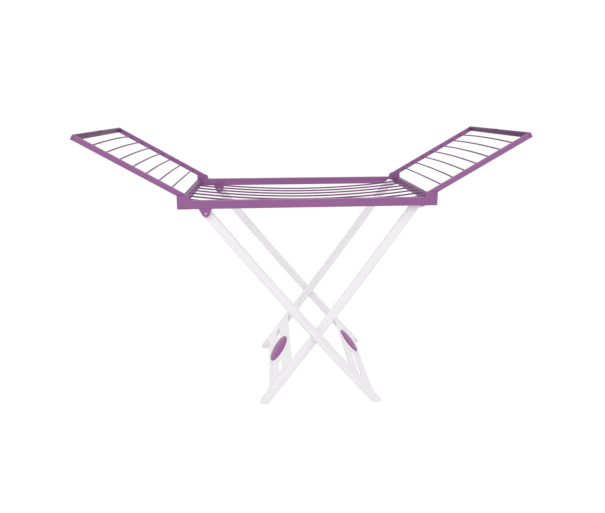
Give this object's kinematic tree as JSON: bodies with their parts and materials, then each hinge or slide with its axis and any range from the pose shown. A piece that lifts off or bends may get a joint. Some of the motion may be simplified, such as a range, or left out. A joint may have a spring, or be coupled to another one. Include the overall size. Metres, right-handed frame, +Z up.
{
  "type": "clothes drying rack",
  "caption": "Freestanding clothes drying rack with a slatted deck of sagging bars, a folding wing at each end and crossed folding legs.",
  "frame": {"origin": "on the floor under the middle of the rack's box", "axes": "+X along the deck towards the end where the inner legs hook in, +Y towards the rear, +Z up"},
  "size_m": [1.816, 0.57, 1.1961],
  "materials": {
    "coloured_resin": "satin moulded purple resin",
    "bar_coating": "steel wire with a smooth grey-violet coating",
    "leg_resin": "white moulded resin",
    "pin_resin": "pale moulded resin",
    "disc_resin": "satin moulded purple resin"
  },
  "bodies": {
    "deck": {"deck_rail_front": "coloured_resin", "deck_rail_rear": "coloured_resin", "deck_end_left": "coloured_resin", "deck_end_right": "coloured_resin", "deck_bars": "bar_coating", "catch_front": "coloured_resin", "catch_rear": "coloured_resin", "wing_left_pins": "coloured_resin", "wing_right_pins": "coloured_resin", "lug_pins": "pin_resin"},
    "wing_left": {"wing_left_rail_front": "coloured_resin", "wing_left_rail_rear": "coloured_resin", "wing_left_outer_rail": "coloured_resin", "wing_left_bars": "bar_coating"},
    "wing_right": {"wing_right_rail_front": "coloured_resin", "wing_right_rail_rear": "coloured_resin", "wing_right_outer_rail": "coloured_resin", "wing_right_bars": "bar_coating"},
    "legs_a": {"leg_a_front": "leg_resin", "leg_a_rear": "leg_resin", "rung_a_lower": "leg_resin", "rung_a_upper": "leg_resin", "disc_a": "disc_resin", "crossing_pins": "pin_resin"},
    "legs_b": {"leg_b_front": "leg_resin", "leg_b_rear": "leg_resin", "rung_b_lower": "leg_resin", "rung_b_upper": "leg_resin", "disc_b": "disc_resin"}
  },
  "joints": [
    {"name": "wing_left_fold", "type": "hinge", "parent": "deck", "child": "wing_left", "pos_m": [-0.49, 0, 0.9453], "axis": [0, 1, 0], "range_deg": [0, 149.5]},
    {"name": "wing_right_fold", "type": "hinge", "parent": "deck", "child": "wing_right", "pos_m": [0.49, 0, 0.9453], "axis": [0, -1, 0], "range_deg": [0, 149.5]},
    {"name": "leg_a_swing", "type": "hinge", "parent": "deck", "child": "legs_a", "pos_m": [-0.4145, 0, 0.881], "axis": [0, 1, 0], "range_deg": [0, 33]},
    {"name": "legs_fold", "type": "hinge", "parent": "legs_a", "child": "legs_b", "pos_m": [0.0376, 0, 0.32012], "axis": [0, -1, 0], "range_deg": [0, 66]}
  ],
  "couplings": [
    {"joint": "leg_a_swing", "follows": "legs_fold", "ratio": 0.5}
  ]
}
